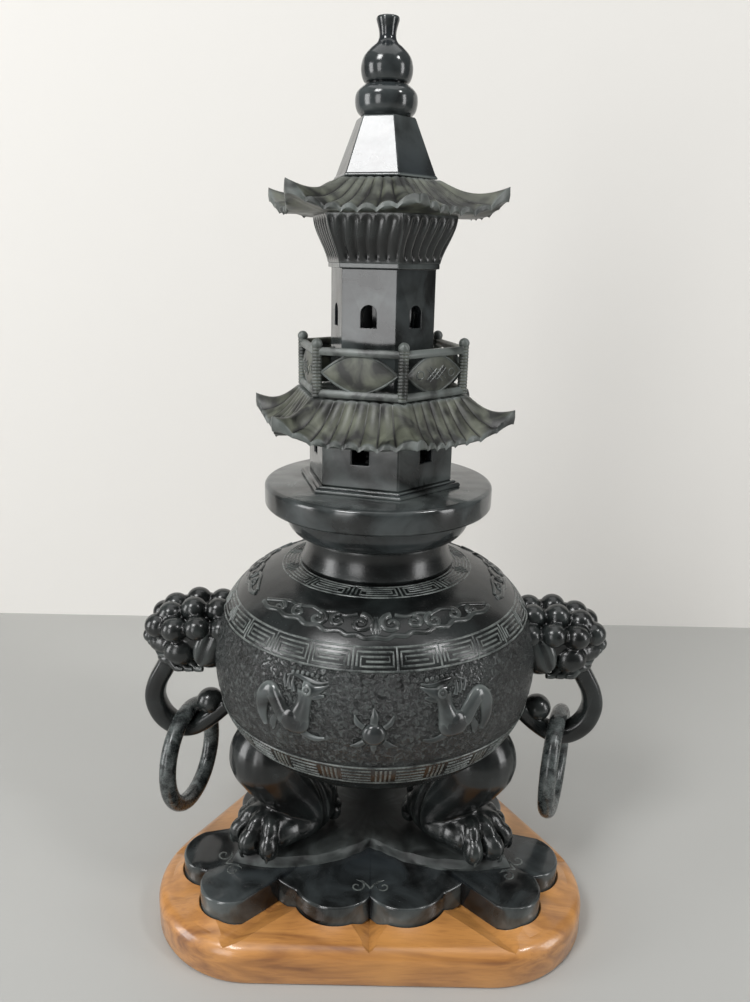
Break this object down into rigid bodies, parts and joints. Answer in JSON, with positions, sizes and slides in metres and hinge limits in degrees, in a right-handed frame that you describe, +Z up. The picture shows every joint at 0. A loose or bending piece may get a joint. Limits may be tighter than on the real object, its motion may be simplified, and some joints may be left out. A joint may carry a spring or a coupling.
{
  "type": "incense burner",
  "caption": "Carved stone tripod incense burner: a footed bowl with lion-head ring handles and a lift-off pagoda lid, on a lobed plinth set in a wooden stand.",
  "frame": {"origin": "middle of the wooden stand's underside, on the vertical axis of the bowl and the pagoda", "axes": "+Z up along the bowl's axis, -Y towards the front, where the stand has a straight side and two feet stand left and right, +X to the right handle"},
  "size_m": [0.246, 0.2045, 0.431],
  "materials": {
    "wood": "clear lacquer",
    "polished_stone": "polished",
    "carved_stone": "carved and waxed",
    "roof_stone": "carved, rubbed",
    "ring_stone": "polished"
  },
  "bodies": {
    "stand": {"wood_stand": "wood"},
    "burner": {"stone_plinth": "polished_stone", "leg_front_left": "carved_stone", "leg_front_right": "carved_stone", "leg_rear": "carved_stone", "bowl": "carved_stone", "mouth_rim": "polished_stone", "lion_head_left": "carved_stone", "lion_head_right": "carved_stone", "tongue_loop_left": "carved_stone", "tongue_loop_right": "carved_stone"},
    "lid": {"lid_disc": "polished_stone", "storey_base": "polished_stone", "lower_storey": "polished_stone", "lower_roof": "roof_stone", "balcony_railing": "roof_stone", "upper_storey": "polished_stone", "roof_bracket": "carved_stone", "upper_roof": "roof_stone", "spire": "polished_stone", "finial": "polished_stone"},
    "ring_left": {"ring_left": "ring_stone"},
    "ring_right": {"ring_right": "ring_stone"}
  },
  "joints": [
    {"name": "burner_lift", "type": "slide", "parent": "stand", "child": "burner", "axis": [0, 0, 1], "range_m": [0, 0.05]},
    {"name": "lid_lift", "type": "slide", "parent": "burner", "child": "lid", "axis": [0, 0, 1], "range_m": [0, 0.08]},
    {"name": "ring_left_swing", "type": "hinge", "parent": "burner", "child": "ring_left", "pos_m": [-0.09995, 0, 0.085], "axis": [0.9703, -0.2419, 0], "range_deg": [-45, 45]},
    {"name": "ring_right_swing", "type": "hinge", "parent": "burner", "child": "ring_right", "pos_m": [0.09995, 0, 0.085], "axis": [0.9397, -0.342, 0], "range_deg": [-45, 45]}
  ]
}
